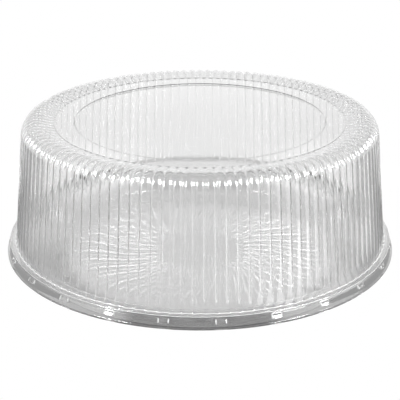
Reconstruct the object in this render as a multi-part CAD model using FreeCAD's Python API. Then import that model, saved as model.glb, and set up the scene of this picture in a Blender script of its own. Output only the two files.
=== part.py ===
import FreeCAD, Part
import math
import os
from collections import namedtuple

# A clear two-piece cake container: a shallow round tray with a swirl pressed into its floor,
# and a fluted dome that sits on the tray's ledge and lifts straight off.
# Millimetres, +Z up, origin at the centre of the tray's foot, front towards -Y.

# Sheet and fit
SHEET = 0.6
RIM_CLEARANCE = 0.3
LUG_CLEARANCE = 0.4

# Tray, from its lip inwards
LIP_RADIUS = 145.0
LIP_HEIGHT = 9.7
LIP_WIDTH = 1.1
SKIRT_FLARE = 2.35
SKIRT_HEIGHT = 7.9
LEDGE_WIDTH = 11.5
WALL_RUN = 4.2
FLOOR_CORNER = 2.0
LEDGE_RADIUS = LIP_RADIUS - LIP_WIDTH - SKIRT_FLARE
LEDGE_HEIGHT = LIP_HEIGHT + SKIRT_HEIGHT
FLOOR_RADIUS = LEDGE_RADIUS - LEDGE_WIDTH - WALL_RUN - FLOOR_CORNER

# Swirl of raised rays on the floor
RAY_COUNT = 34
RAY_START_RADIUS = 29.0
RAY_MARGIN = 6.5
RAY_HEIGHT = 0.8
RAY_WIDTH_SHARE = 0.42
RAY_SWING = 5.5
RAY_SWING_START_RADIUS = 40.5
RAY_SWING_LENGTH = 46.5
RAY_STEPS = 5
RAY_END_RADIUS = FLOOR_RADIUS - RAY_MARGIN

# Lugs round the skirt, which keep stacked trays apart
LUG_COUNT = 24
LUG_WIDTH = 7.2
LUG_HEIGHT = 2.7
LUG_DEPTH = 1.3
LUG_TOP_DEPTH = 0.65
LUG_TURN = 5.4

# Dome, from its rim inwards
RIM_DROP = 1.4
FLANGE_WIDTH = 3.35
FLUTE_COUNT = 114
FLUTE_DEPTH = 1.6
CREST_SHARE = 0.62
WALL_TAPER = 8.1
SHOULDER_RADIUS = 11.1
SHOULDER_TURNS = (0.0, 32.0, 64.0, 96.0)
DOME_HEIGHT = 91.8
TOP_FLUTE_RUN = 24.1
TOP_FLUTE_DROP = 2.9
TOP_EDGE_WIDTH = 1.0
TOP_RING_WIDTH = 13.5
TOP_RING_DROP = 0.6
PANEL_STEP_WIDTH = 4.5
PANEL_STEP_DROP = 1.0
FOOT_RADIUS = LEDGE_RADIUS - FLANGE_WIDTH
SHOULDER_REACH = FOOT_RADIUS - WALL_TAPER
FLUTE_END_RADIUS = SHOULDER_REACH - TOP_FLUTE_RUN
TOP_RING_RADIUS = FLUTE_END_RADIUS - TOP_EDGE_WIDTH
PANEL_STEP_RADIUS = TOP_RING_RADIUS - TOP_RING_WIDTH
PANEL_RADIUS = PANEL_STEP_RADIUS - PANEL_STEP_WIDTH

UP = FreeCAD.Vector(0, 0, 1)
ORIGIN = FreeCAD.Vector(0, 0, 0)

# A corner of the dome's crest line: where it lies, and how far the sheet leans back there, in degrees.
Crest = namedtuple("Crest", "radius height lean")
Valley = namedtuple("Valley", "radius height")


def place(radius, turn, height):
    """A point given by its radius, its turn in degrees from the front, and its height."""
    angle = math.radians(turn)
    return FreeCAD.Vector(radius * math.sin(angle), -radius * math.cos(angle), height)


def copies_round(shape, count, first_turn=0):
    """Copies of a shape, evenly spaced round the axis."""
    return [shape.rotated(ORIGIN, UP, first_turn + index * 360 / count) for index in range(count)]


def side_line(points):
    """A line through (radius, height) points, in the plane of the axis."""
    return Part.makePolygon([FreeCAD.Vector(radius, 0, height) for radius, height in points])


def formed_sheet():
    """The tray's sheet before its lugs and rays: floor, wall, ledge, sloping skirt and lip."""
    upper_side = side_line([
        (0, SHEET),
        (FLOOR_RADIUS, SHEET),
        (FLOOR_RADIUS + FLOOR_CORNER, SHEET + FLOOR_CORNER),
        (LEDGE_RADIUS - LEDGE_WIDTH, LEDGE_HEIGHT),
        (LEDGE_RADIUS, LEDGE_HEIGHT),
        (LIP_RADIUS - LIP_WIDTH, LIP_HEIGHT + SHEET),
        (LIP_RADIUS, LIP_HEIGHT + SHEET),
    ])
    section = upper_side.makeOffset2D(-SHEET, join=2, fill=True, openResult=True)
    return section.revolve(ORIGIN, UP, 360)


def skirt_radius(height):
    """The radius of the skirt's outside at a height."""
    return LEDGE_RADIUS + SKIRT_FLARE * (LEDGE_HEIGHT - height) / (SKIRT_HEIGHT - SHEET)


def ray_turn(radius):
    """How far a ray has swung round, in degrees, at a radius: a slow S."""
    return RAY_SWING * math.cos(math.pi * (radius - RAY_SWING_START_RADIUS) / RAY_SWING_LENGTH)


def ray_side(half_width):
    """One long side of the ray at the front, from its inner end to its outer end."""
    step = (RAY_END_RADIUS - RAY_START_RADIUS) / RAY_STEPS
    radii = [RAY_START_RADIUS + index * step for index in range(RAY_STEPS + 1)]
    return [place(radius, ray_turn(radius) + half_width, SHEET) for radius in radii]


def floor_rays():
    """The raised rays of the swirl, copied round the floor."""
    half_width = RAY_WIDTH_SHARE * 360 / RAY_COUNT / 2
    left = ray_side(-half_width)
    right = ray_side(half_width)
    outline = Part.makePolygon(left + right[::-1] + left[:1])
    return copies_round(Part.Face(outline).extrude(UP * RAY_HEIGHT), RAY_COUNT)


def skirt_lugs():
    """The lugs with leaning faces that stand out from the skirt below the dome's rim, copied round it."""
    top = LEDGE_HEIGHT - RIM_DROP - LUG_CLEARANCE
    bottom = top - LUG_HEIGHT
    corners = [
        (skirt_radius(top) - SHEET / 2, top),
        (skirt_radius(top) + LUG_TOP_DEPTH, top),
        (skirt_radius(bottom) + LUG_DEPTH, bottom),
        (skirt_radius(bottom) - SHEET / 2, bottom),
    ]
    side = flat_face([place(radius, 0, height) for radius, height in corners])
    side.translate(FreeCAD.Vector(-LUG_WIDTH / 2, 0, 0))
    return copies_round(side.extrude(FreeCAD.Vector(LUG_WIDTH, 0, 0)), LUG_COUNT, LUG_TURN)


def make_tray():
    """The tray, with lugs on its skirt and the swirl standing on its floor."""
    return formed_sheet().fuse(skirt_lugs() + floor_rays())


def crest_line(inset):
    """The corners of the flutes' crests from the flange over the shoulder to their ends on top."""
    crown = LEDGE_HEIGHT + DOME_HEIGHT
    centre_radius = SHOULDER_REACH - SHOULDER_RADIUS
    centre_height = crown - SHOULDER_RADIUS
    bend = SHOULDER_RADIUS - inset
    line = [Crest(FOOT_RADIUS - inset, LEDGE_HEIGHT + SHEET - inset, 0)]
    for turn in SHOULDER_TURNS:
        angle = math.radians(turn)
        radius = centre_radius + bend * math.cos(angle)
        line.append(Crest(radius, centre_height + bend * math.sin(angle), turn))
    line.append(Crest(FLUTE_END_RADIUS, crown - TOP_FLUTE_DROP - inset, 90))
    return line


def valley_line(crests, depth):
    """The corners of the valleys. In each stretch the valley and the crest aim at one point
    on the axis, so the flank between them is flat. The valleys end with the crests."""
    line = [Valley(crests[0].radius - depth, crests[0].height)]
    for lower, upper in zip(crests[:-2], crests[1:-1]):
        aim = lower.height + (upper.height - lower.height) * lower.radius / (lower.radius - upper.radius)
        taper = line[-1].radius / (aim - line[-1].height)
        lean = math.radians(upper.lean)
        sunk = (upper.radius - taper * (aim - upper.height)) / (math.cos(lean) + taper * math.sin(lean))
        line.append(Valley(upper.radius - sunk * math.cos(lean), upper.height - sunk * math.sin(lean)))
    return line + [Valley(crests[-1].radius, crests[-1].height)]


def flute_rows(inset):
    """The points across one flute at each corner: valley, two edges of the crest, next valley."""
    half_pitch = 180 / FLUTE_COUNT
    half_crest = half_pitch * CREST_SHARE
    flank = math.atan2(FLUTE_DEPTH, FOOT_RADIUS * math.radians(half_pitch - half_crest))
    half_crest -= math.degrees(inset * math.tan(flank / 2) / FOOT_RADIUS)
    crests = crest_line(inset)
    valleys = valley_line(crests, FLUTE_DEPTH - inset + inset / math.cos(flank))
    spreads = [half_crest] * (len(crests) - 1) + [half_pitch]
    rows = []
    for crest, valley, spread in zip(crests, valleys, spreads):
        rows.append([
            place(valley.radius, -half_pitch, valley.height),
            place(crest.radius, -spread, crest.height),
            place(crest.radius, spread, crest.height),
            place(valley.radius, half_pitch, valley.height),
        ])
    return rows


def flat_face(points):
    """A flat face on its corners."""
    return Part.Face(Part.makePolygon(points + points[:1]))


def flute_faces(rows):
    """The flat strips of one flute: a flank, the crest and a flank in each stretch. On top the
    crests widen until they meet, so the last flanks are triangles."""
    faces = []
    for lower, upper in zip(rows[:-2], rows[1:-1]):
        for index in range(len(lower) - 1):
            faces.append(flat_face([lower[index], lower[index + 1], upper[index + 1], upper[index]]))
    lower, upper = rows[-2:]
    faces.append(flat_face([lower[0], lower[1], upper[1]]))
    faces.append(flat_face([lower[1], lower[2], upper[2], upper[1]]))
    faces.append(flat_face([lower[2], lower[3], upper[2]]))
    return faces


def outline_round(points):
    """The closed line that a flute's points make when they are repeated round the dome."""
    turned = []
    for count in range(FLUTE_COUNT):
        turn = FreeCAD.Rotation(UP, count * 360 / FLUTE_COUNT)
        turned.extend(turn.multVec(point) for point in points)
    return Part.makePolygon(turned + turned[:1])


def circle(radius, height):
    """A level circle about the axis."""
    return Part.Wire(Part.Circle(FreeCAD.Vector(0, 0, height), UP, radius).toShape())


def level_ring(outline, hole):
    """A level face between an outline and a hole in it."""
    return Part.makeFace([outline, hole], "Part::FaceMakerBullseye")


def turned_faces(points):
    """The faces that a line through (radius, height) points makes when it is turned about the axis."""
    return side_line(points).revolve(ORIGIN, UP, 360).Faces


def rim_place(inset):
    """The radius and the height of the bottom of the dome's rim, which clears the skirt."""
    bottom = LEDGE_HEIGHT - RIM_DROP
    return skirt_radius(bottom) + RIM_CLEARANCE + SHEET - inset, bottom


def dome_skin(inset):
    """One side of the dome's sheet from its rim to its top panel: the outside, or the inside."""
    rim_radius, rim_bottom = rim_place(inset)
    flange_height = LEDGE_HEIGHT + SHEET - inset
    rows = flute_rows(inset)
    end_height = rows[-1][0].z
    step_height = end_height - TOP_RING_DROP
    panel_height = step_height - PANEL_STEP_DROP
    faces = turned_faces([(rim_radius, rim_bottom), (rim_radius, flange_height)])
    faces.append(level_ring(circle(rim_radius, flange_height), outline_round(rows[0][:-1])))
    for flute in copies_round(Part.makeCompound(flute_faces(rows)), FLUTE_COUNT):
        faces.extend(flute.Faces)
    faces.append(level_ring(outline_round(rows[-1][1:2]), circle(TOP_RING_RADIUS, end_height)))
    faces.extend(turned_faces([
        (TOP_RING_RADIUS, end_height),
        (PANEL_STEP_RADIUS, step_height),
        (PANEL_RADIUS, panel_height),
    ]))
    faces.append(Part.Face(circle(PANEL_RADIUS, panel_height)))
    return faces


def make_dome():
    """The dome: fluted wall, rounded shoulder and sunk top over a flange with a turned-down rim."""
    rim_edge = level_ring(circle(*rim_place(0)), circle(*rim_place(SHEET)))
    sheet = Part.makeCompound(dome_skin(0) + dome_skin(SHEET) + [rim_edge])
    sheet.sewShape()
    return Part.makeSolid(sheet)


def main():
    """Builds each piece and writes it to its own file."""
    os.makedirs("parts", exist_ok=True)
    pieces = {"base_tray": make_tray(), "dome_lid": make_dome()}
    for name, shape in pieces.items():
        print(name, len(shape.Solids), "solid,", round(shape.Volume), "cubic mm, sound:", shape.isValid())
        shape.exportStep(f"parts/{name}.step")


if __name__ == "__main__":
    main()
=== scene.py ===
import logging
import math
from dataclasses import dataclass
from enum import Enum
from typing import Any, NamedTuple, Optional, Sequence, Union

import bpy
import numpy as np
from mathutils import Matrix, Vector


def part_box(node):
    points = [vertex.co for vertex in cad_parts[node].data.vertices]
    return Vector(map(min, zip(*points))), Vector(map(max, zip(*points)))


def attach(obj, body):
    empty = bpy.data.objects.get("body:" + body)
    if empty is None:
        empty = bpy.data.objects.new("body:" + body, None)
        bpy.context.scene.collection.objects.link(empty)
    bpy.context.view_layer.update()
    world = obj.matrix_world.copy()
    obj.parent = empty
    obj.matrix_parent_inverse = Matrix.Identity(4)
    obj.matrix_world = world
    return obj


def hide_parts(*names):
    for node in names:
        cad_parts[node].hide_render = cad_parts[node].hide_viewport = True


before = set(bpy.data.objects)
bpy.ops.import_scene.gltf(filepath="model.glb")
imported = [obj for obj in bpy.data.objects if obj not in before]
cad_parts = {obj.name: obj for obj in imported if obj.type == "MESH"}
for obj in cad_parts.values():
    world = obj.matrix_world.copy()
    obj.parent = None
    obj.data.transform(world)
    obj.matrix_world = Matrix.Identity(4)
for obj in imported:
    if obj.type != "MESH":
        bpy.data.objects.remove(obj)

log = logging.getLogger("cake_container")

BENT = "bent"
CREASE_ANGLE = 50.0
FULL_TURN = 2 * math.pi
NOISE_MIDDLE = 0.5

Number = Union[int, float]
Point = tuple[float, float]
Span = tuple[float, float]


class Body(Enum):
    """The two bodies that pieces ride on."""

    TRAY = "tray"
    LID = "lid"


class Op(Enum):
    """The operations of a Math node that expressions use."""

    ADD = "ADD"
    SUBTRACT = "SUBTRACT"
    MULTIPLY = "MULTIPLY"
    DIVIDE = "DIVIDE"
    MAXIMUM = "MAXIMUM"
    COSINE = "COSINE"
    ABSOLUTE = "ABSOLUTE"
    SQRT = "SQRT"
    ARCTAN2 = "ARCTAN2"
    WRAP = "WRAP"


class Rise(Enum):
    """The ways in which a ramp goes from 0 to 1."""

    SMOOTH = "SMOOTHSTEP"
    LINEAR = "LINEAR"


class Value:
    """A socket that can be used in a Python expression."""

    def __init__(self, graph: "Graph", socket: bpy.types.NodeSocket) -> None:
        """Wraps an output socket of a node in a graph."""
        self.graph = graph
        self.socket = socket

    def __add__(self, other: "Term") -> "Value":
        """The sum of this value and another."""
        return self.graph.math(Op.ADD, self, other)

    def __sub__(self, other: "Term") -> "Value":
        """This value less another."""
        return self.graph.math(Op.SUBTRACT, self, other)

    def __mul__(self, other: "Term") -> "Value":
        """The product of this value and another."""
        return self.graph.math(Op.MULTIPLY, self, other)

    def __truediv__(self, other: "Term") -> "Value":
        """This value divided by another."""
        return self.graph.math(Op.DIVIDE, self, other)

    def __radd__(self, other: Number) -> "Value":
        """A number plus this value."""
        return self.graph.math(Op.ADD, other, self)

    def __rsub__(self, other: Number) -> "Value":
        """A number less this value."""
        return self.graph.math(Op.SUBTRACT, other, self)

    def __rmul__(self, other: Number) -> "Value":
        """A number times this value."""
        return self.graph.math(Op.MULTIPLY, other, self)


Term = Union[Value, Number]


class Graph:
    """A node tree that is filled by expressions and by one method for any other node."""

    def __init__(self, tree: bpy.types.NodeTree) -> None:
        """Wraps a node tree."""
        self.tree = tree

    def add(self, kind: str, settings: Optional[dict[str, Any]] = None,
            inputs: Optional[dict[Union[str, int], Any]] = None) -> bpy.types.Node:
        """Adds one node.

        Args:
            kind: the node's type name.
            settings: properties that are set first.
            inputs: values or links for its sockets, by name or index.

        Returns:
            The new node.
        """
        node = self.tree.nodes.new(kind)
        for name, setting in (settings or {}).items():
            setattr(node, name, setting)
        for key, given in (inputs or {}).items():
            socket = node.inputs[key]
            if isinstance(given, Value):
                self.tree.links.new(given.socket, socket)
            else:
                socket.default_value = given
        return node

    def out(self, node: bpy.types.Node, key: Union[str, int] = 0) -> Value:
        """An output of a node, as a value."""
        return Value(self, node.outputs[key])

    def math(self, op: Op, *terms: Term) -> Value:
        """A Math node on up to three terms."""
        return self.out(self.add("ShaderNodeMath", {"operation": op.value}, dict(enumerate(terms))))

    def ramp(self, value: Value, start: Term, end: Term, rise: Rise = Rise.SMOOTH) -> Value:
        """A rise from 0 to 1 as a value goes from start to end.

        Args:
            value: what is mapped.
            start: where the rise begins.
            end: where the rise ends.
            rise: whether it eases in and out or is straight.

        Returns:
            The risen value, from 0 to 1.
        """
        settings = {"interpolation_type": rise.value, "clamp": True}
        inputs = {"Value": value, "From Min": start, "From Max": end}
        return self.out(self.add("ShaderNodeMapRange", settings, inputs))

    def coordinates(self, kind: str) -> Value:
        """Texture coordinates of a kind."""
        return self.out(self.add("ShaderNodeTexCoord"), kind)

    def parts(self, vector: Value) -> tuple[Value, Value, Value]:
        """The parts of a place or a direction: across to the right, along to the back, and up."""
        split = self.add("ShaderNodeSeparateXYZ", None, {0: vector})
        return self.out(split, 0), self.out(split, 1), self.out(split, 2)

    def radius(self, across: Value, along: Value) -> Value:
        """The distance from the upright axis."""
        return self.math(Op.SQRT, across * across + along * along)

    def turn(self, across: Value, along: Value) -> Value:
        """The turn round the axis in radians, 0 at the front and rising to the right."""
        return self.math(Op.ARCTAN2, across, along * -1)

    def degrees_from_front(self, across: Value, along: Value) -> Value:
        """The turn away from the front to either side, in degrees from 0 to 180."""
        return self.math(Op.ABSOLUTE, self.turn(across, along)) * (180 / math.pi)

    def noise(self, place: Value, scale: float, detail: float, roughness: float) -> Value:
        """A noise of a scale, an amount of detail and a roughness, from 0 to 1."""
        inputs = {"Vector": place, "Scale": scale, "Detail": detail, "Roughness": roughness}
        return self.out(self.add("ShaderNodeTexNoise", None, inputs))

    def grey(self, level: Value) -> Value:
        """The grey of a level, as a colour."""
        return self.out(self.add("ShaderNodeCombineColor", None, {0: level, 1: level, 2: level}))


def new_material(name: str) -> tuple[bpy.types.Material, Graph]:
    """A new material without nodes.

    Args:
        name: the material's name.

    Returns:
        The material and its graph.
    """
    made = bpy.data.materials.new(name)
    made.use_nodes = True
    made.node_tree.nodes.clear()
    return made, Graph(made.node_tree)


@dataclass(frozen=True)
class Swirl:
    """The rays that swirl out over the tray's floor.

    Attributes:
        count: how many rays there are.
        start: the radius at which they begin.
        start_fade: how many times that radius it is to where they have fully risen.
        swing: how far a ray swings to either side, as a turn round the axis.
        swing_start: the radius at which it has swung out to one side.
        swing_length: how far from there it has swung to the other side.
    """

    count: int = 34
    start: float = 0.029
    start_fade: float = 1.3
    swing: float = math.radians(5.5)
    swing_start: float = 0.0405
    swing_length: float = 0.0465


@dataclass(frozen=True)
class SwirlHighlightLines:
    """Painted highlights: pale lines along the sides of the rays, stronger to the left and right, where the
    light falls on them.

    Attributes:
        swirl: the rays.
        end: the radius at which the lines end.
        end_fade: the share of that radius at which they begin to fade.
        height: the height over which there are none.
        height_fade: the share of that height at which they begin to fade.
        side: where they lie on a ray, from -1 in the groove to 1 on the crest.
        width: how wide they are on that measure.
        front_strength: how pale they are in front and behind.
        side_strength: the painted highlight that is added to that at the sides.
        side_shares: where the sides begin and are reached, as shares across the radius.
    """

    swirl: Swirl = Swirl()
    end: float = 0.105
    end_fade: float = 0.7
    height: float = 0.006
    height_fade: float = 0.5
    side: float = 0.15
    width: float = 0.60
    front_strength: float = 0.08
    side_strength: float = 0.20
    side_shares: Span = (0.3, 0.8)

    def share(self, graph: Graph, place: Value) -> Value:
        """How pale the sheet is at a place, as painted highlight.

        Args:
            graph: the graph of the sheet's material.
            place: the place on the sheet.

        Returns:
            The share of pale sheet that is painted highlight, from 0 to 1.
        """
        swirl = self.swirl
        across, along, height = graph.parts(place)
        radius = graph.radius(across, along)
        bow = (radius - swirl.swing_start) * (math.pi / swirl.swing_length)
        turn = graph.turn(across, along) - swirl.swing * graph.math(Op.COSINE, bow)
        wave = graph.math(Op.COSINE, turn * swirl.count)
        line = 1 - graph.ramp(graph.math(Op.ABSOLUTE, wave - self.side), 0, self.width)
        begun = graph.ramp(radius, swirl.start, swirl.start * swirl.start_fade)
        ended = graph.ramp(radius, self.end * self.end_fade, self.end)
        low = 1 - graph.ramp(height, self.height * self.height_fade, self.height)
        aside = graph.ramp(graph.math(Op.ABSOLUTE, across) / radius, *self.side_shares)
        return line * begun * (1 - ended) * low * (self.front_strength + aside * self.side_strength)


@dataclass(frozen=True)
class ClearSheet:
    """Clear glossy formed sheet: it refracts, reflects and is faintly uneven."""

    name: str
    tint: float
    roughness: float
    waviness: float
    tint_change: float = 0.03
    wave_scale: float = 60.0
    wave_height: float = 0.001
    haze_scale: float = 15.0
    ior: float = 1.57
    coat: float = 0.8
    coat_roughness: float = 0.08
    # Pale lines along the swirl's rays, painted highlights.
    lines: Optional[SwirlHighlightLines] = None
    line_roughness: float = 0.4
    line_roughness_change: float = 0.2

    def material(self) -> bpy.types.Material:
        """Builds the sheet's material.

        Returns:
            The material, which lets lamps through so that it casts no hard shadow.
        """
        made, graph = new_material(self.name)
        place = graph.coordinates("Object")
        flow = graph.noise(place, self.wave_scale, detail=2.0, roughness=0.5)
        haze = graph.noise(place, self.haze_scale, detail=3.0, roughness=0.6)
        colour = graph.grey(self.tint + (haze - NOISE_MIDDLE) * self.tint_change)
        bump = graph.out(graph.add("ShaderNodeBump", None, {
            "Height": flow, "Strength": self.waviness, "Distance": self.wave_height}))
        surface = graph.out(graph.add("ShaderNodeBsdfPrincipled", None, {
            "Base Color": colour, "Roughness": self.roughness + haze * self.roughness, "Normal": bump,
            "Transmission Weight": 1.0, "IOR": self.ior,
            "Coat Weight": self.coat, "Coat Roughness": self.coat_roughness}))
        if self.lines:
            # A whitish diffuse sheet along the rays' sides: a painted highlight mixed into the clear sheet.
            pale = graph.out(graph.add("ShaderNodeBsdfPrincipled", None, {
                "Base Color": colour,
                "Roughness": self.line_roughness + haze * self.line_roughness_change}))
            surface = graph.out(graph.add("ShaderNodeMixShader", None, {
                0: self.lines.share(graph, place), 1: surface, 2: pale}))
        open_to_lamps = graph.out(graph.add("ShaderNodeBsdfTransparent", None, {"Color": colour}))
        shadow = graph.out(graph.add("ShaderNodeLightPath"), "Is Shadow Ray")
        mixed = graph.out(graph.add("ShaderNodeMixShader", None, {
            0: shadow, 1: surface, 2: open_to_lamps}))
        graph.add("ShaderNodeOutputMaterial", None, {"Surface": mixed})
        return made


@dataclass(frozen=True)
class BendHighlightSheet:
    """Whitish sheet along a tight bend: a painted highlight that stands in for the light the bend catches.
    """

    name: str
    tint: float = 0.70
    tint_change: float = 0.12
    roughness: float = 0.40
    roughness_change: float = 0.2
    clearness: float = 0.58
    grain_scale: float = 240.0
    ior: float = 1.57

    def material(self) -> bpy.types.Material:
        """Builds the bend's material, a painted highlight.

        Returns:
            The material.
        """
        made, graph = new_material(self.name)
        grain = graph.noise(graph.coordinates("Object"), self.grain_scale, detail=3.0, roughness=0.6)
        surface = graph.out(graph.add("ShaderNodeBsdfPrincipled", None, {
            "Base Color": graph.grey(self.tint + (grain - NOISE_MIDDLE) * self.tint_change),
            "Roughness": self.roughness + grain * self.roughness_change,
            "Transmission Weight": self.clearness, "IOR": self.ior}))
        graph.add("ShaderNodeOutputMaterial", None, {"Surface": surface})
        return made


@dataclass(frozen=True)
class PaleFloor:
    """White studio floor that glows. Seen straight on it is plain white.

    What the container shows of it is light and shade painted into that glow: painted shadow under the
    container and under the tray's ledge, painted shade in front and to the left, painted light at the
    right, painted dark to either side, as if a card stood there, and painted light behind, most of all
    close by and far off. Behind the container a painted shadow of the dome's flange lies in a fine arc.
    Turns are in degrees from the front, and each pair says where a change begins and ends.
    """

    under_level: float = 0.66
    under_radius: float = 0.098
    ledge_level: float = 0.17
    ledge_radius: float = 0.110
    ledge_side_level: float = 0.32
    ledge_side_turns: Span = (15, 40)
    ledge_rear_turns: Span = (80, 110)
    open_radii: Span = (0.146, 0.160)
    front_level: float = 0.38
    left_level: float = 0.5
    right_level: float = 1.2
    middle_width: float = 0.02
    flank_turns: Span = (34, 48)
    card_level: float = 0.34
    card_turns: Span = (60, 74)
    rear_level: float = 0.76
    rear_turns: Span = (116, 130)
    back_level: float = 0.79
    back_turns: Span = (152, 166)
    far_gain: float = 0.19
    far_span: Span = (0.28, 0.50)
    near_gain: float = 0.3
    near_radii: Span = (0.24, 0.31)
    near_first_turns: Span = (118, 130)
    near_last_turns: Span = (152, 164)
    shade_shift: float = 0.063
    shade_radius: float = 0.1429
    shade_width: float = 0.0075
    shade_inside: float = 0.15
    shade_span: Span = (0.0, 0.08)

    def beneath(self, graph: Graph, turn: Value) -> Value:
        """How bright the painted shadow under the ledge is.

        Args:
            graph: the graph of the floor's material.
            turn: the turn away from the front.

        Returns:
            The level.
        """
        side = graph.ramp(turn, *self.ledge_side_turns) * (self.ledge_side_level - self.ledge_level)
        rear = graph.ramp(turn, *self.ledge_rear_turns) * (self.under_level - self.ledge_side_level)
        return self.ledge_level + side + rear

    def around(self, graph: Graph, across: Value, along: Value) -> Value:
        """The level of the floor's painted light and shade round the container.

        Args:
            graph: the graph of the floor's material.
            across: the place to the right of the middle.
            along: the place behind the middle.

        Returns:
            The level.
        """
        turn = graph.degrees_from_front(across, along)
        right = graph.ramp(across, -self.middle_width, self.middle_width)
        flank = self.left_level + right * (self.right_level - self.left_level)
        level = self.front_level + graph.ramp(turn, *self.flank_turns) * (flank - self.front_level)
        level = level + graph.ramp(turn, *self.card_turns) * (self.card_level - flank)
        level = level + graph.ramp(turn, *self.rear_turns) * (self.rear_level - self.card_level)
        level = level + graph.ramp(turn, *self.back_turns) * (self.back_level - self.rear_level)
        level = level + graph.ramp(along, *self.far_span) * self.far_gain
        close = 1 - graph.ramp(graph.radius(across, along), *self.near_radii)
        close = close * (1 - graph.ramp(turn, *self.near_last_turns))
        return level + close * graph.ramp(turn, *self.near_first_turns) * self.near_gain

    def shade(self, graph: Graph, across: Value, along: Value) -> Value:
        """How much the painted shadow of the flange darkens the floor behind the container.

        Args:
            graph: the graph of the floor's material.
            across: the place to the right of the middle.
            along: the place behind the middle.

        Returns:
            The share of light that is missing.
        """
        beyond = graph.radius(across, along - self.shade_shift) - self.shade_radius
        line = 1 - graph.ramp(graph.math(Op.ABSOLUTE, beyond), 0, self.shade_width)
        within = 1 - graph.ramp(beyond, -self.shade_width, self.shade_width)
        return graph.ramp(along, *self.shade_span) * (line + within * self.shade_inside)

    def material(self) -> bpy.types.Material:
        """Builds the floor's material.

        Returns:
            The material.
        """
        made, graph = new_material("floor_with_painted_shade")
        across, along, _ = graph.parts(graph.coordinates("Object"))
        radius = graph.radius(across, along)
        # The levels below are painted shadow under the container and the ledge, painted light and shade
        # round it, and the flange's painted shadow behind it.
        ledge = graph.ramp(radius, self.under_radius, self.ledge_radius)
        beneath = self.beneath(graph, graph.degrees_from_front(across, along))
        level = self.under_level + ledge * (beneath - self.under_level)
        away = graph.ramp(radius, *self.open_radii)
        level = level + away * (self.around(graph, across, along) - level)
        level = level * (1 - away * self.shade(graph, across, along))
        # Camera rays see plain white; reflected and passed-through rays see the painted levels.
        straight = graph.out(graph.add("ShaderNodeLightPath"), "Is Camera Ray")
        colour = graph.grey(graph.math(Op.MAXIMUM, level, straight))
        glow = graph.add("ShaderNodeEmission", None, {"Color": colour})
        graph.add("ShaderNodeOutputMaterial", None, {"Surface": graph.out(glow)})
        return made


def on_circle(centre: Point, radius: float, angle: float) -> Point:
    """The point of a circle at an angle in degrees, counted from outwards to upwards."""
    turn = math.radians(angle)
    return centre[0] + radius * math.cos(turn), centre[1] + radius * math.sin(turn)


def arc(centre: Point, radius: float, start: float, end: float, steps: int) -> list[Point]:
    """Points on an arc.

    Args:
        centre: the arc's centre, as radius and height.
        radius: the arc's radius.
        start: its first angle in degrees, counted from outwards to upwards.
        end: its last angle in degrees.
        steps: how many stretches it is cut into.

    Returns:
        The points, both ends included.
    """
    return [on_circle(centre, radius, angle) for angle in np.linspace(start, end, steps + 1)]


def rounded_line(corners: Sequence[tuple[float, float, float]], steps: int) -> list[Point]:
    """Points along a line whose corners are rounded.

    Args:
        corners: the corners as radius, height and rounding radius, with no rounding at the ends.
        steps: how many stretches each rounding is cut into.

    Returns:
        The points from the first corner to the last.
    """
    points = [corners[0][:2]]
    for last, here, after in zip(corners, corners[1:], corners[2:]):
        corner = Vector(here[:2])
        back = (Vector(last[:2]) - corner).normalized()
        ahead = (Vector(after[:2]) - corner).normalized()
        half = back.angle(ahead) / 2
        reach = here[2] / math.tan(half)
        middle = corner + (back + ahead).normalized() * (here[2] / math.sin(half))
        first = corner + back * reach - middle
        turn = first.angle_signed(corner + ahead * reach - middle)
        for step in range(steps + 1):
            angle = -turn * step / steps
            swung = Vector((first.x * math.cos(angle) - first.y * math.sin(angle),
                            first.x * math.sin(angle) + first.y * math.cos(angle)))
            points.append(tuple(middle + swung))
    points.append(corners[-1][:2])
    return points


def ring_points(radius: Union[float, np.ndarray], turns: np.ndarray,
                height: Union[float, np.ndarray]) -> np.ndarray:
    """Points round the axis.

    Args:
        radius: their radius, or each one's own.
        turns: their turns from the front, in radians.
        height: their height, or each one's own.

    Returns:
        The points, one row each.
    """
    heights = np.broadcast_to(height, turns.shape)
    return np.stack([radius * np.sin(turns), -radius * np.cos(turns), heights], axis=1)


def mesh_object(name: str, points: np.ndarray, faces: list[tuple[int, ...]],
                bent: Optional[list[bool]] = None) -> bpy.types.Object:
    """A new mesh object in the scene.

    Args:
        name: the object's name.
        points: its points, one row each.
        faces: its faces as point numbers.
        bent: for each face, whether it lies on a tight bend of the sheet.

    Returns:
        The object, at the origin.
    """
    mesh = bpy.data.meshes.new(name)
    mesh.from_pydata([tuple(map(float, point)) for point in points], [], faces)
    if bent:
        mesh.attributes.new(BENT, "BOOLEAN", "FACE").data.foreach_set("value", bent)
    made = bpy.data.objects.new(name, mesh)
    bpy.context.scene.collection.objects.link(made)
    return made


def geometry_tree(name: str, sizes: dict[str, str]) -> tuple[Graph, dict[str, Value], dict[str, str]]:
    """A Geometry Nodes tree with inputs for a surface, its sizes and its two materials.

    Args:
        name: the tree's name.
        sizes: the socket types of the sizes, by name.

    Returns:
        The graph, its inputs as values, and the identifiers that a modifier sets them by.
    """
    tree = bpy.data.node_groups.new(name, "GeometryNodeTree")
    tree.interface.new_socket("Geometry", in_out="INPUT", socket_type="NodeSocketGeometry")
    dress = {"Material": "NodeSocketMaterial", "Bend Highlight Material": "NodeSocketMaterial"}
    keys = {}
    for label, kind in {**sizes, **dress}.items():
        socket = tree.interface.new_socket(label, in_out="INPUT", socket_type=kind)
        keys[label] = socket.identifier
    tree.interface.new_socket("Geometry", in_out="OUTPUT", socket_type="NodeSocketGeometry")
    graph = Graph(tree)
    source = graph.add("NodeGroupInput")
    values = {label: graph.out(source, label) for label in ["Geometry", *keys]}
    return graph, values, keys


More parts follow.
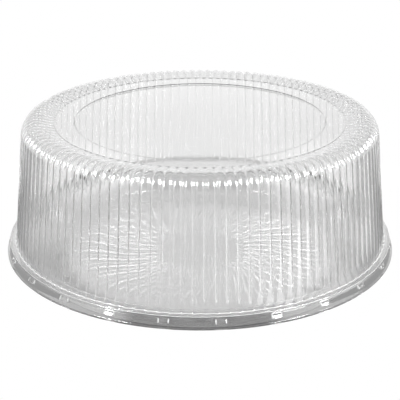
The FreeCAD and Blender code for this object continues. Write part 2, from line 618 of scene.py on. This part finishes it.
def close_tree(graph: Graph, shape: Value, given: dict[str, Value]) -> None:
    """Ends a Geometry Nodes tree in Realize Instances and Set Material, all over and then on the bends.

    Args:
        graph: the tree's graph.
        shape: the shape that it has made.
        given: the tree's inputs.
    """
    real = graph.out(graph.add("GeometryNodeRealizeInstances", None, {"Geometry": shape}))
    clear = graph.out(graph.add("GeometryNodeSetMaterial", None, {
        "Geometry": real, "Material": given["Material"]}))
    # The bends get the second material, a whitish painted highlight.
    bent = graph.add("GeometryNodeInputNamedAttribute", {"data_type": "BOOLEAN"}, {"Name": BENT})
    dressed = graph.out(graph.add("GeometryNodeSetMaterial", None, {
        "Geometry": clear, "Selection": graph.out(bent, "Attribute"), "Material": given["Bend Highlight Material"]}))
    graph.add("NodeGroupOutput", None, {"Geometry": dressed})


def finished_piece(source: bpy.types.Object, name: str, thickness: float) -> bpy.types.Object:
    """Gives a pressed surface its thickness and turns it into a plain mesh.

    Args:
        source: the object whose modifiers make the surface.
        name: the finished piece's name.
        thickness: the sheet's thickness, added behind the surface.

    Returns:
        The finished piece. The source is removed.
    """
    solid = source.modifiers.new("sheet", "SOLIDIFY")
    solid.thickness = thickness
    solid.offset = -1.0
    solid.use_even_offset = True
    solid.use_quality_normals = True
    # The back of a bend takes the slot before the bend's own, so it stays clear.
    solid.material_offset = -1
    graph = bpy.context.evaluated_depsgraph_get()
    mesh = bpy.data.meshes.new_from_object(source.evaluated_get(graph))
    bpy.data.objects.remove(source)
    mesh.name = name
    mesh.attributes.remove(mesh.attributes[BENT])
    mesh.shade_smooth()
    mesh.set_sharp_from_angle(angle=math.radians(CREASE_ANGLE))
    piece = bpy.data.objects.new(name, mesh)
    bpy.context.scene.collection.objects.link(piece)
    return piece


def ride(piece: bpy.types.Object, body: Body, node: str) -> None:
    """Puts a piece on its body, in place of its CAD node.

    Args:
        piece: the finished piece.
        body: the body that it rides on.
        node: the CAD node that it stands for.
    """
    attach(piece, body.value)
    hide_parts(node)
    log.info("%s: %d faces", piece.name, len(piece.data.polygons))


@dataclass
class FormedSheet:
    """What the two pieces share: a surface that a Geometry Nodes tree shapes into a sheet."""

    finish: ClearSheet
    bend_highlight: BendHighlightSheet
    sheet: float = 0.0006

    def formed(self, surface: bpy.types.Object, tree: bpy.types.NodeTree, keys: dict[str, str],
               sizes: dict[str, Number], name: str) -> bpy.types.Object:
        """Runs a tree on a surface and finishes the piece.

        Args:
            surface: the surface to start from.
            tree: the Geometry Nodes tree.
            keys: the identifiers of its inputs.
            sizes: what its sizes are set to.
            name: the finished piece's name.

        Returns:
            The finished piece.
        """
        shaping = surface.modifiers.new("shaping", "NODES")
        shaping.node_group = tree
        dress = {"Material": self.finish.material(), "Bend Highlight Material": self.bend_highlight.material()}
        for label, setting in {**sizes, **dress}.items():
            shaping[keys[label]] = setting
        return finished_piece(surface, name, self.sheet)


@dataclass
class FluteRow:
    """One line round the dome: where its crests lie, and how far its valleys are sunk.

    Attributes:
        radius: the crest's radius.
        height: the crest's height.
        lean: the way that the valley is sunk, in degrees from inwards to downwards.
        depth: how far it is sunk, below zero where it stands out instead.
        fluted: whether the row has the points of a flute, or only those of a plain ring.
        bent: whether the row lies on a tight bend of the sheet, where the sheet gets a painted highlight.
        power: how narrow the valley is, from 1, as wide as the crest, upwards.
    """

    radius: float
    height: float
    lean: float = 0.0
    depth: float = 0.0
    fluted: bool = True
    bent: bool = False
    power: float = 2.0


@dataclass
class DomeLid(FormedSheet):
    """The fluted dome: rim, flange, wall, shoulder, top and sunk panel in one sheet."""

    node: str = "dome_lid"
    rim_drop: float = 0.0014
    ledge_gap: float = 0.00008
    rim_round: float = 0.0006
    rim_angles: tuple[float, ...] = (0.0, 35.0, 70.0, 90.0)
    foot_inset: float = 0.0047
    foot_round: float = 0.0005
    foot_steps: int = 3
    foot_tooth: float = 0.0007
    run_out: float = 0.0105
    run_out_shares: tuple[float, ...] = (0.25, 0.5, 0.75, 1.0)
    wall_shares: tuple[float, ...] = (0.33, 0.67)
    flute_count: int = 114
    flute_depth: float = 0.0016
    flute_half: tuple[float, ...] = (0.0, 0.25, 0.45, 0.62, 0.74, 0.83, 0.91, 1.0)
    crest_bow: float = 0.2
    valley_power: float = 5.0
    crown_power: float = 1.6
    round_rate: float = 2.5
    shoulder_reach: float = 0.1301
    shoulder_round: float = 0.0111
    shoulder_steps: int = 9
    flute_end_radius: float = 0.1060
    flute_end_drop: float = 0.0029
    flute_fade_rate: float = 1.5
    flute_crown_share: float = 0.6
    flute_end_share: float = 0.3
    crown_shares: tuple[float, ...] = (0.3, 0.6, 0.85, 0.95)
    ring_run: float = 0.0004
    ring_step: float = 0.0003
    ring_support: float = 0.0015
    panel_edge_radius: float = 0.0913
    panel_edge_drop: float = 0.0035
    panel_radius: float = 0.0905
    panel_drop: float = 0.0045
    edge_round: float = 0.0005
    panel_round: float = 0.0008
    edge_support: float = 0.0012
    edge_steps: int = 3

    def rows(self) -> list[FluteRow]:
        """The lines round the dome from the rim's edge up to the middle of the panel.

        Returns:
            The rows in order.
        """
        low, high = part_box(self.node)
        rim, bottom, crown = high[0], low[2], high[2]
        flange = bottom + self.rim_drop + self.sheet + self.ledge_gap
        foot = rim - self.foot_inset
        rise = crown - self.shoulder_round - flange
        lean = math.degrees(math.atan2(foot - self.shoulder_reach, rise))
        rows = self.rim_rows(rim, bottom, flange)
        rows.append(FluteRow(foot + 2 * self.foot_tooth, flange, fluted=False))
        rows += self.foot_rows(foot, flange, lean)
        rows += self.shoulder_rows(rows[-1], crown, lean)
        rows += self.panel_rows(crown)
        return rows

    def rim_rows(self, rim: float, bottom: float, flange: float) -> list[FluteRow]:
        """The rows of the turned-down rim.

        Args:
            rim: the rim's radius.
            bottom: the height of its edge.
            flange: the height of the flange's upper side.

        Returns:
            The rows from the rim's edge to the beginning of the flange.
        """
        corner = (rim - self.rim_round, flange - self.rim_round)
        rows = [FluteRow(rim, bottom, fluted=False)]
        for angle in self.rim_angles:
            # The rim's rounding is a tight bend, which gets the whitish painted highlight.
            inside = self.rim_angles[0] < angle < self.rim_angles[-1]
            rows.append(FluteRow(*on_circle(corner, self.rim_round, angle), fluted=False, bent=inside))
        rows.append(FluteRow(corner[0] - self.rim_round / 2, flange, fluted=False))
        return rows

    def foot_rows(self, foot: float, flange: float, lean: float) -> list[FluteRow]:
        """The rows of the wall's foot, where the flutes run out.

        Args:
            foot: the radius at which the wall meets the flange.
            flange: the height of the flange's upper side.
            lean: how far the wall leans inwards, in degrees.

        Returns:
            The rows from the flange to the flutes' full depth.
        """
        bend = (foot + self.foot_round, flange + self.foot_round)
        rows = []
        for index, point in enumerate(arc(bend, self.foot_round, 270, 180 + lean, self.foot_steps)):
            depth = self.foot_depth(point[1] - flange)
            # The foot's bend gets the whitish painted highlight.
            bent = index < self.foot_steps
            rows.append(FluteRow(*point, depth=depth, bent=bent, power=self.valley_power))
        for share in self.run_out_shares:
            rise = share * self.run_out
            radius = foot - math.tan(math.radians(lean)) * rise
            depth = self.foot_depth(rise)
            rows.append(FluteRow(radius, flange + rise, depth=depth, power=self.valley_power))
        return rows

    def foot_depth(self, height: float) -> float:
        """How far a valley is sunk at a height over the flange, where it runs out in a tooth."""
        return min(height / self.run_out, 1.0) * (self.flute_depth + self.foot_tooth) - self.foot_tooth

    def shoulder_rows(self, start: FluteRow, crown: float, lean: float) -> list[FluteRow]:
        """The rows of the wall, the shoulder and the top, as far as the flutes reach.

        Args:
            start: the row that the wall begins at.
            crown: the dome's greatest height.
            lean: how far the wall leans inwards, in degrees.

        Returns:
            The rows after the first, up to where the flutes end.
        """
        middle = (self.shoulder_reach - self.shoulder_round, crown - self.shoulder_round)
        end = (self.flute_end_radius, crown - self.flute_end_drop)
        reach = Vector((end[0] - middle[0], end[1] - middle[1]))
        last = math.degrees(math.atan2(reach.y, reach.x) - math.acos(self.shoulder_round / reach.length))
        shoulder = arc(middle, self.shoulder_round, lean, last, self.shoulder_steps)
        rows = []
        for share in self.wall_shares:
            radius = start.radius + share * (shoulder[0][0] - start.radius)
            height = start.height + share * (shoulder[0][1] - start.height)
            rows.append(FluteRow(radius, height, share * lean, self.flute_depth, power=self.valley_power))
        for step, point in enumerate(shoulder):
            share = step / self.shoulder_steps
            fade = 1 - share ** self.flute_fade_rate * (1 - self.flute_crown_share)
            narrow = (1 - share) ** self.round_rate
            power = self.crown_power + narrow * (self.valley_power - self.crown_power)
            slant = lean + share * (last - lean)
            rows.append(FluteRow(*point, slant, self.flute_depth * fade, power=power))
        tip = shoulder[-1]
        for share in self.crown_shares:
            fade = self.flute_crown_share + share * (self.flute_end_share - self.flute_crown_share)
            radius = tip[0] + share * (end[0] - tip[0])
            height = tip[1] + share * (end[1] - tip[1])
            rows.append(FluteRow(radius, height, last, self.flute_depth * fade, power=self.crown_power))
        return rows

    def panel_rows(self, crown: float) -> list[FluteRow]:
        """The rows from the step at the flutes' ends to the middle of the sunk panel.

        Args:
            crown: the dome's greatest height.

        Returns:
            The rows in order.
        """
        end, top = self.flute_end_radius, crown - self.flute_end_drop
        rows = [
            FluteRow(end, top),
            FluteRow(end - self.ring_run, top - self.ring_step),
            FluteRow(end - self.ring_support, top - self.ring_step, fluted=False),
        ]
        edge, panel = crown - self.panel_edge_drop, crown - self.panel_drop
        ring = rounded_line([
            (self.panel_edge_radius + self.edge_support, edge, 0),
            (self.panel_edge_radius, edge, self.edge_round),
            (self.panel_radius, panel, self.panel_round),
            (self.panel_radius - self.edge_support, panel, 0),
        ], self.edge_steps)
        rows += [FluteRow(*point, fluted=False) for point in (*ring, (0.0, panel))]
        return rows

    def flute_surface(self) -> bpy.types.Object:
        """The outside of one flute, from the rim's edge to the middle of the panel.

        Returns:
            The surface, with its tight bends marked.
        """
        flute = np.array([-place for place in reversed(self.flute_half[1:])] + list(self.flute_half))
        ring = np.array([-1.0, 0.0, 1.0])
        rows = self.rows()
        points, numbers = [], []
        for row in rows:
            across = flute if row.fluted else ring
            turns = across * math.pi / self.flute_count
            valley = ((1 - np.cos(np.pi * across)) / 2) ** row.power
            sunk = (self.crest_bow * across ** 2 + (1 - self.crest_bow) * valley) * row.depth
            radius = row.radius - sunk * math.cos(math.radians(row.lean))
            height = row.height - sunk * math.sin(math.radians(row.lean))
            first = sum(map(len, points))
            numbers.append(range(first, first + len(across)))
            points.append(ring_points(radius, turns, height))
        faces, bent = [], []
        for row, above, low, high in zip(rows, rows[1:], numbers, numbers[1:]):
            if row.fluted == above.fluted:
                made = [(low[k], low[k + 1], high[k + 1], high[k]) for k in range(len(low) - 1)]
            else:
                made = [(*low, *reversed(high))]
            faces += made
            bent += [row.bent and above.bent] * len(made)
        return mesh_object("flute", np.concatenate(points), faces, bent)

    def build(self) -> bpy.types.Object:
        """Repeats the flute round the axis and gives the sheet its thickness.

        Returns:
            The finished dome.
        """
        graph, given, keys = geometry_tree("flutes_round_axis", {
            "Count": "NodeSocketInt", "Weld": "NodeSocketFloat"})
        spots = graph.out(graph.add("GeometryNodePoints", None, {"Count": given["Count"]}))
        turn = graph.out(graph.add("GeometryNodeInputIndex")) * FULL_TURN / given["Count"]
        swing = graph.out(graph.add("FunctionNodeAxisAngleToRotation", None, {
            "Axis": (0.0, 0.0, 1.0), "Angle": turn}))
        copies = graph.out(graph.add("GeometryNodeInstanceOnPoints", None, {
            "Points": spots, "Instance": given["Geometry"], "Rotation": swing}))
        joined = graph.out(graph.add("GeometryNodeRealizeInstances", None, {"Geometry": copies}))
        welded = graph.out(graph.add("GeometryNodeMergeByDistance", None, {
            "Geometry": joined, "Distance": given["Weld"]}))
        close_tree(graph, welded, given)
        sizes = {"Count": self.flute_count, "Weld": self.sheet / 20}
        dome = self.formed(self.flute_surface(), graph.tree, keys, sizes, "dome")
        ride(dome, Body.LID, self.node)
        return dome


class TrayEdges(NamedTuple):
    """The lip's radius, and the radius and height of the ledge's outer edge."""

    lip: float
    ledge: float
    top: float


@dataclass
class BaseTray(FormedSheet):
    """The tray: swirled floor, wall, ledge, skirt with lugs and lip in one sheet."""

    node: str = "base_tray"
    columns: int = 408
    lip_width: float = 0.0011
    lip_drop: float = 0.0073
    ledge_inset: float = 0.00345
    ledge_width: float = 0.0115
    wall_run: float = 0.0042
    floor_corner: float = 0.0020
    corner_round: float = 0.0020
    ledge_round: float = 0.0020
    edge_round: float = 0.0009
    bend_steps: int = 4
    hem_steps: int = 3
    floor_rows: int = 36
    swirl: Swirl = Swirl()
    ray_height: float = 0.0008
    ray_flank: Span = (-0.6, 0.9)
    ray_margin: float = 0.0065
    ray_end_fade: float = 0.93
    lug_count: int = 24
    lug_width: float = 0.0072
    lug_height: float = 0.0027
    lug_depth: float = 0.0013
    lug_lean: float = 0.68
    lug_top_drop: float = 0.0018
    lug_draft: float = 0.0003
    lug_turn: float = math.radians(5.4)
    # Where the columns of the mesh lie on each half of a lug's face, and which of the columns that belong
    # to a lug get the whitish bend sheet, a painted highlight.
    lug_face_shares: tuple[float, ...] = (0.4, 0.75)
    lug_bent_columns: tuple[int, ...] = (4, 5, 11, 12)

    def edges(self) -> TrayEdges:
        """The tray's edges, from its CAD node's box."""
        _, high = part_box(self.node)
        return TrayEdges(high[0], high[0] - self.ledge_inset, high[2])

    def floor_radius(self) -> float:
        """The radius of the flat floor."""
        return self.edges().ledge - self.ledge_width - self.wall_run - self.floor_corner

    def lug_heights(self) -> Span:
        """The heights of a lug's top and bottom."""
        top = self.edges().top - self.lug_top_drop
        return top, top - self.lug_height

    def skirt_radius(self, height: float) -> float:
        """The sloping skirt's radius at a height."""
        lip, ledge, top = self.edges()
        return ledge + (lip - self.lip_width - ledge) * (top - height) / self.lip_drop

    def line(self) -> tuple[list[Point], range]:
        """The tray's upper side from the floor's first ring out to the lip's edge.

        Returns:
            The points, and the numbers of those at the lugs.
        """
        lip, ledge, top = self.edges()
        floor = self.floor_radius()
        lug_top, lug_bottom = self.lug_heights()
        radii = np.linspace(0, floor - self.ray_margin, self.floor_rows + 1)[1:-1]
        flat = [(radius, self.sheet) for radius in radii]
        wall = rounded_line([
            (floor - self.ray_margin, self.sheet, 0),
            (floor + self.floor_corner, self.sheet, self.corner_round),
            (ledge - self.ledge_width, top, self.ledge_round),
            (ledge, top, self.edge_round),
            (self.skirt_radius(lug_top), lug_top, 0),
        ], self.bend_steps)[:-1]
        middle = (lug_top + lug_bottom) / 2
        heights = (lug_top, lug_top - self.lug_draft, middle, lug_bottom + self.lug_draft, lug_bottom)
        skirt = [(self.skirt_radius(height), height) for height in heights]
        below, low = lug_bottom - self.lug_draft / 4, top - self.lip_drop
        hem = rounded_line([
            (self.skirt_radius(below), below, 0),
            (lip - self.lip_width, low, self.edge_round / 2),
            (lip, low, 0),
        ], self.hem_steps)
        first = len(flat) + len(wall)
        return flat + wall + skirt + hem, range(first, first + len(skirt))

    def column_turns(self) -> tuple[np.ndarray, np.ndarray]:
        """The turns of the mesh's columns, in the same order in two spacings.

        Returns:
            The turns when spaced evenly, and when drawn together at the lugs' sides.
        """
        ledge = self.edges().ledge
        half, draft = self.lug_width / 2 / ledge, self.lug_draft / ledge
        pitch = FULL_TURN / self.lug_count
        side = [half * share for share in self.lug_face_shares] + [half - draft, half, half + draft]
        spare = self.columns // self.lug_count // 2 - len(side)
        gap = pitch / 2 - half - draft
        side += [half + draft + gap * (index + 1) / (spare + 0.5) for index in range(spare)]
        offsets = np.array([-turn for turn in reversed(side)] + [0.0] + side)
        drawn = np.concatenate([offsets + self.lug_turn + index * pitch for index in range(self.lug_count)])
        first = round((drawn[0] % FULL_TURN) / (FULL_TURN / self.columns))
        order = np.roll(np.arange(self.columns), -first)
        even = order * FULL_TURN / self.columns + np.where(order < first, FULL_TURN, 0.0)
        return even, drawn + FULL_TURN * np.round((even - drawn) / FULL_TURN)

    def flat_surface(self) -> bpy.types.Object:
        """The tray's upper side with nothing pressed into it yet.

        Returns:
            The surface, with the lugs' sides marked as bends.
        """
        line, lug_rows = self.line()
        even, drawn = self.column_turns()
        floor_edge = line[self.floor_rows][0]
        ledge_start = self.edges().ledge - self.ledge_width
        points = [np.array([[0.0, 0.0, self.sheet]])]
        for radius, height in line:
            share = min(max((radius - floor_edge) / (ledge_start - floor_edge), 0.0), 1.0)
            points.append(ring_points(radius, even + share * (drawn - even), height))
        per_lug = self.columns // self.lug_count
        faces, bent = [], []
        for column in range(self.columns):
            beside = (column + 1) % self.columns
            faces.append((0, 1 + column, 1 + beside))
            bent.append(False)
            for row in range(len(line) - 1):
                inner, outer = 1 + row * self.columns, 1 + (row + 1) * self.columns
                faces.append((inner + column, outer + column, outer + beside, inner + beside))
                bent.append(row in lug_rows and column % per_lug in self.lug_bent_columns)
        return mesh_object("tray_sheet", np.concatenate(points), faces, bent)

    def sizes(self) -> dict[str, float]:
        """The sizes of the swirl and the lugs.

        Returns:
            The sizes by the names of the pressing tree's inputs.
        """
        lug_top, lug_bottom = self.lug_heights()
        return {
            "Ray Count": float(self.swirl.count),
            "Ray Height": self.ray_height,
            "Ray Start": self.swirl.start,
            "Ray End": self.floor_radius() - self.ray_margin,
            "Ray Swing": self.swirl.swing,
            "Swing Start": self.swirl.swing_start,
            "Swing Length": self.swirl.swing_length,
            "Lug Count": float(self.lug_count),
            "Lug Turn": self.lug_turn,
            "Lug Half Width": self.lug_width / 2,
            "Lug Draft": self.lug_draft,
            "Lug Depth": self.lug_depth,
            "Lug Lean": self.lug_lean,
            "Lug Top": lug_top,
            "Lug Bottom": lug_bottom,
            "Skirt Radius": self.edges().ledge,
        }

    def ray_lift(self, graph: Graph, given: dict[str, Value], radius: Value, turn: Value) -> Value:
        """How far the swirl lifts the floor.

        Args:
            graph: the pressing tree's graph.
            given: its inputs.
            radius: the place's radius.
            turn: the place's turn round the axis.

        Returns:
            The lift.
        """
        bow = (radius - given["Swing Start"]) / given["Swing Length"] * math.pi
        swing = given["Ray Swing"] * graph.math(Op.COSINE, bow)
        wave = graph.math(Op.COSINE, (turn - swing) * given["Ray Count"])
        begun = graph.ramp(radius, given["Ray Start"], given["Ray Start"] * self.swirl.start_fade)
        ended = graph.ramp(radius, given["Ray End"] * self.ray_end_fade, given["Ray End"])
        return graph.ramp(wave, *self.ray_flank) * begun * (1 - ended) * given["Ray Height"]

    def lug_push(self, graph: Graph, given: dict[str, Value], radius: Value, turn: Value,
                 height: Value) -> Value:
        """How far the lugs push the skirt out.

        Args:
            graph: the pressing tree's graph.
            given: its inputs.
            radius: the place's radius.
            turn: the place's turn round the axis.
            height: the place's height.

        Returns:
            The push.
        """
        draft, top, bottom = given["Lug Draft"], given["Lug Top"], given["Lug Bottom"]
        pitch = graph.math(Op.DIVIDE, math.pi, given["Lug Count"])
        local = graph.math(Op.WRAP, turn - given["Lug Turn"], pitch, pitch * -1)
        aside = graph.math(Op.ABSOLUTE, local) * radius
        half = given["Lug Half Width"]
        wide = 1 - graph.ramp(aside, half - draft, half, Rise.LINEAR)
        over = graph.ramp(height, bottom, bottom + draft, Rise.LINEAR)
        under = 1 - graph.ramp(height, top - draft, top, Rise.LINEAR)
        lean = 1 - graph.ramp(height, bottom, top, Rise.LINEAR) * given["Lug Lean"]
        skirt = given["Skirt Radius"]
        outside = graph.ramp(radius, skirt - draft, skirt, Rise.LINEAR)
        return wide * over * under * outside * lean * given["Lug Depth"]

    def build(self) -> bpy.types.Object:
        """Presses the swirl and the lugs into the sheet and gives it its thickness.

        Returns:
            The finished tray.
        """
        sizes = self.sizes()
        graph, given, keys = geometry_tree("pressed_tray", dict.fromkeys(sizes, "NodeSocketFloat"))
        across, along, height = graph.parts(graph.out(graph.add("GeometryNodeInputPosition")))
        radius = graph.radius(across, along)
        turn = graph.turn(across, along)
        lift = self.ray_lift(graph, given, radius, turn)
        push = self.lug_push(graph, given, radius, turn, height) / radius
        offset = graph.out(graph.add("ShaderNodeCombineXYZ", None, {
            0: across * push, 1: along * push, 2: lift}))
        pressed = graph.out(graph.add("GeometryNodeSetPosition", None, {
            "Geometry": given["Geometry"], "Offset": offset}))
        close_tree(graph, pressed, given)
        tray = self.formed(self.flat_surface(), graph.tree, keys, sizes, "tray")
        ride(tray, Body.TRAY, self.node)
        return tray


def area_light(name: str, width: float, length: float, radiance: float) -> bpy.types.Object:
    """A rectangular light in the scene.

    Args:
        name: the light's name.
        width: its width.
        length: its length.
        radiance: how bright its face is.

    Returns:
        The light's object, at the origin.
    """
    lamp = bpy.data.lights.new(name, "AREA")
    lamp.shape = "RECTANGLE"
    lamp.size = width
    lamp.size_y = length
    lamp.energy = radiance * width * length * math.pi
    made = bpy.data.objects.new(name, lamp)
    bpy.context.scene.collection.objects.link(made)
    return made


@dataclass(frozen=True)
class Softbox:
    """A studio light that faces the container."""

    name: str
    turn: float
    rise: float
    distance: float
    width: float
    height: float
    radiance: float

    def build(self, target: Vector) -> bpy.types.Object:
        """Adds the light.

        Args:
            target: the point that it faces.

        Returns:
            The light's object.
        """
        made = area_light(self.name, self.width, self.height, self.radiance)
        turn, rise = math.radians(self.turn), math.radians(self.rise)
        away = Vector((math.sin(turn) * math.cos(rise), -math.cos(turn) * math.cos(rise), math.sin(rise)))
        made.location = target + away * self.distance
        made.rotation_euler = away.to_track_quat("Z", "Y").to_euler()
        return made


@dataclass(frozen=True)
class FloorPanel:
    """A light panel that lies on the floor beside the container, out of the picture."""

    name: str
    place: Point
    heading: float
    width: float
    length: float
    radiance: float
    height: float = 0.001

    def build(self) -> bpy.types.Object:
        """Adds the panel, facing up.

        Returns:
            The light's object.
        """
        made = area_light(self.name, self.width, self.length, self.radiance)
        made.location = (*self.place, self.height)
        made.rotation_euler = (math.pi, 0.0, math.radians(self.heading))
        made.visible_camera = False
        made.visible_transmission = False
        return made


@dataclass
class Studio:
    """The camera, the lights, the white floor and the surroundings that the sheet reflects.

    Turns are in degrees from the front, and each pair says where a change begins and ends.
    """

    lip_height: float = 0.010
    camera_distance: float = 0.74385
    camera_height: float = 0.33336
    camera_pitch: float = 22.13
    lens: float = 95.75
    floor_size: float = 8.0
    floor_drop: float = 0.0002
    front_level: float = 0.25
    flank_level: float = 1.8
    flank_turns: Span = (36, 50)
    behind_turns: Span = (95, 115)
    back_level: float = 1.2
    back_span: Span = (0.2, 0.8)
    sky_level: float = 0.6
    sky_span: Span = (0.5, 0.75)
    light_target: tuple[float, float, float] = (0.0, 0.0, 0.06)
    softboxes: tuple[Softbox, ...] = (
        Softbox("front_left_softbox", -51.0, 29.0, 1.6, 0.46, 0.62, 26.0),
        Softbox("front_right_softbox", 52.0, 29.0, 1.6, 0.52, 0.62, 26.0),
        Softbox("far_right_softbox", 73.0, 20.5, 1.68, 0.25, 0.22, 26.0),
    )
    panel: FloorPanel = FloorPanel("right_floor_panel", (0.21, -0.205), 77.0, 0.06, 0.26, 2.2)
    clear_bounces: int = 32
    glossy_bounces: int = 12

    def add_camera(self) -> None:
        """Adds the camera at the photograph's viewing angle."""
        lens = bpy.data.cameras.new("camera")
        lens.lens = self.lens
        camera = bpy.data.objects.new("camera", lens)
        camera.location = (0.0, -self.camera_distance, self.camera_height + self.lip_height)
        camera.rotation_euler = (math.radians(90 - self.camera_pitch), 0.0, 0.0)
        bpy.context.scene.collection.objects.link(camera)
        bpy.context.scene.camera = camera

    def add_floor(self) -> None:
        """Adds the white floor, which glows with painted light and shade, just under the tray."""
        half = self.floor_size / 2
        sides = ((-half, -half), (half, -half), (half, half), (-half, half))
        corners = np.array([(*side, -self.floor_drop) for side in sides])
        floor = mesh_object("floor", corners, [(0, 1, 2, 3)])
        floor.data.materials.append(PaleFloor().material())

    def add_surroundings(self) -> None:
        """Adds soft surroundings, bright at the flanks and behind, dim in front and overhead."""
        world = bpy.data.worlds.new("surroundings")
        world.use_nodes = True
        world.node_tree.nodes.clear()
        graph = Graph(world.node_tree)
        across, along, rise = graph.parts(graph.coordinates("Generated"))
        turn = graph.degrees_from_front(across, along)
        flank = self.flank_level - self.front_level
        level = self.front_level + graph.ramp(turn, *self.flank_turns) * flank
        level = level - graph.ramp(turn, *self.behind_turns) * flank
        level = level + graph.ramp(along, *self.back_span) * (self.back_level - self.front_level)
        level = level + graph.ramp(rise, *self.sky_span) * (self.sky_level - level)
        sky = graph.add("ShaderNodeBackground", None, {"Strength": level})
        graph.add("ShaderNodeOutputWorld", None, {"Surface": graph.out(sky)})
        bpy.context.scene.world = world

    def build(self) -> None:
        """Sets up the whole studio."""
        self.add_camera()
        self.add_floor()
        self.add_surroundings()
        for softbox in self.softboxes:
            softbox.build(Vector(self.light_target))
        self.panel.build()
        scene = bpy.context.scene
        scene.view_settings.view_transform = "Standard"
        scene.cycles.max_bounces = self.clear_bounces
        scene.cycles.transmission_bounces = self.clear_bounces
        scene.cycles.transparent_max_bounces = self.clear_bounces
        scene.cycles.glossy_bounces = self.glossy_bounces


def main() -> None:
    """Builds the pieces and the studio, and notes each piece's face count."""
    logging.basicConfig(level=logging.INFO, format="%(name)s: %(message)s")
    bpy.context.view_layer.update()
    swirled = ClearSheet("clear_tray_sheet", tint=0.93, roughness=0.02, waviness=0.06, lines=SwirlHighlightLines())
    # The tight bends of both pieces get a whitish sheet that is painted highlight.
    BaseTray(swirled, BendHighlightSheet("tray_bend_painted_highlight")).build()
    clear = ClearSheet("clear_dome_sheet", tint=0.95, roughness=0.015, waviness=0.05)
    DomeLid(clear, BendHighlightSheet("dome_bend_painted_highlight")).build()
    Studio().build()


if __name__ == "__main__":
    main()
